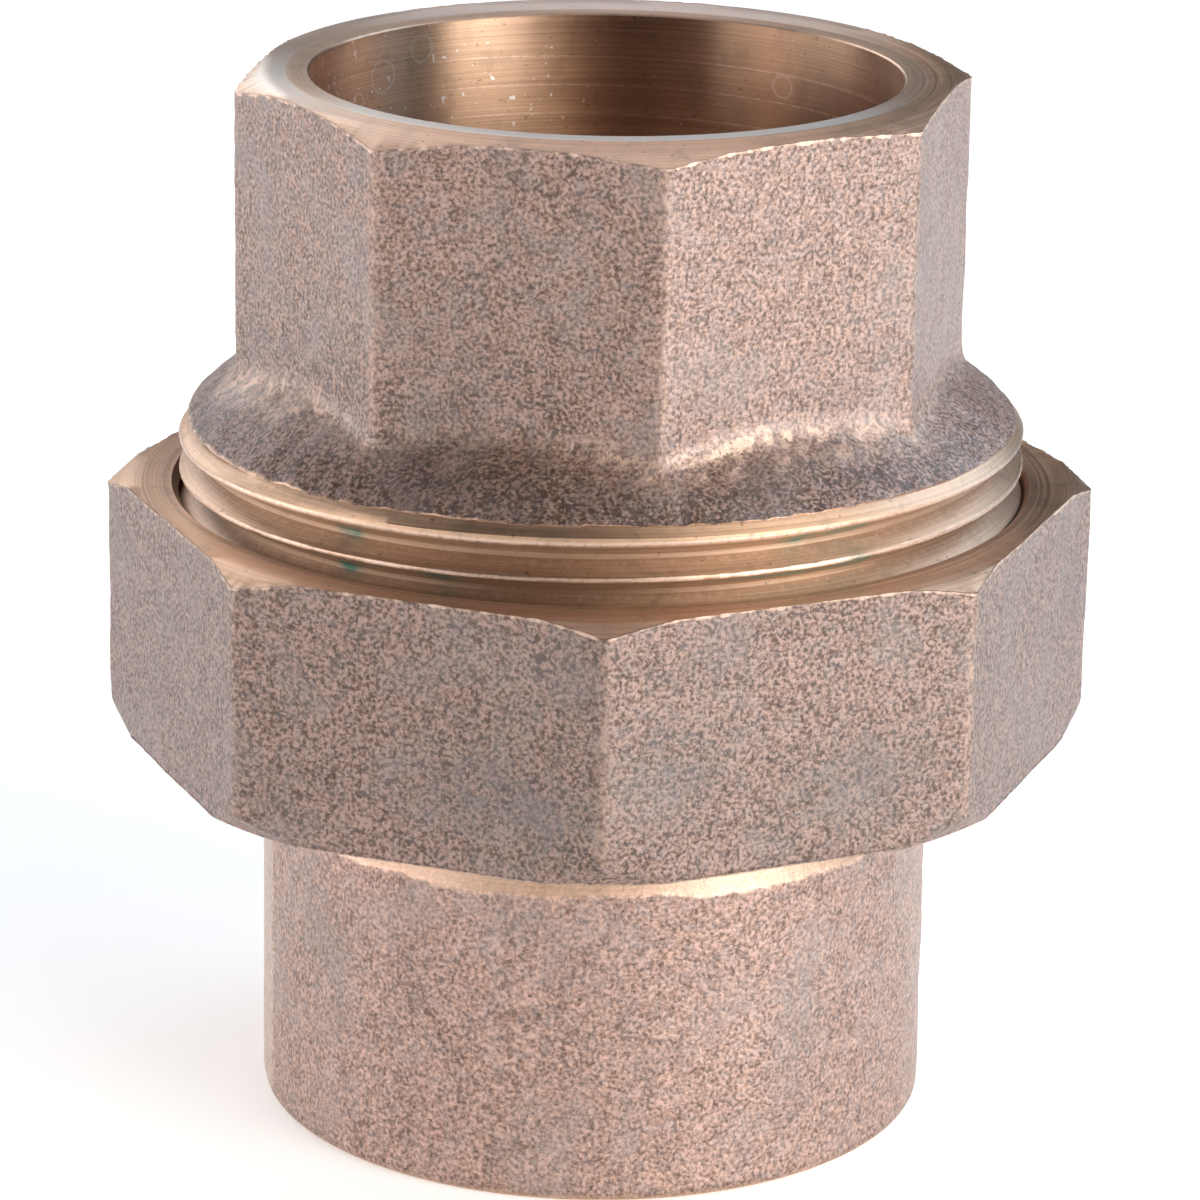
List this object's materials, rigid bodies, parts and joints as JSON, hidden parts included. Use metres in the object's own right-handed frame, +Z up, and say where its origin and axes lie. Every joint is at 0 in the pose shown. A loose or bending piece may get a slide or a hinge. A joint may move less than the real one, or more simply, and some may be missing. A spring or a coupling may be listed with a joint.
{
  "type": "pipe union",
  "caption": "Cast bronze ground-joint pipe union with a solder cup at each end, a threaded head and an octagonal union nut.",
  "frame": {"origin": "on the fitting's axis, at the plane of the tailpiece's lower rim", "axes": "+Z up the axis from the tailpiece to the threaded head; +X square to one flat of the head's octagonal hub"},
  "size_m": [0.0886, 0.0886, 0.0984],
  "materials": {
    "cast_bronze": "sand-cast surface with turned faces, bore and thread"
  },
  "bodies": {
    "tail": {"tailpiece": "cast_bronze"},
    "nut": {"union_nut": "cast_bronze"},
    "head": {"threaded_head": "cast_bronze"}
  },
  "joints": [
    {"name": "nut_turn", "type": "hinge", "parent": "tail", "child": "nut", "pos_m": [0, 0, 0.0395], "axis": [0, 0, -1], "range_deg": [0, 1080]},
    {"name": "head_lift", "type": "slide", "parent": "tail", "child": "head", "axis": [0, 0, 1], "range_m": [0, 0.00953]}
  ],
  "couplings": [
    {"joint": "head_lift", "follows": "nut_turn", "m_per_rad": 0.00050532}
  ]
}
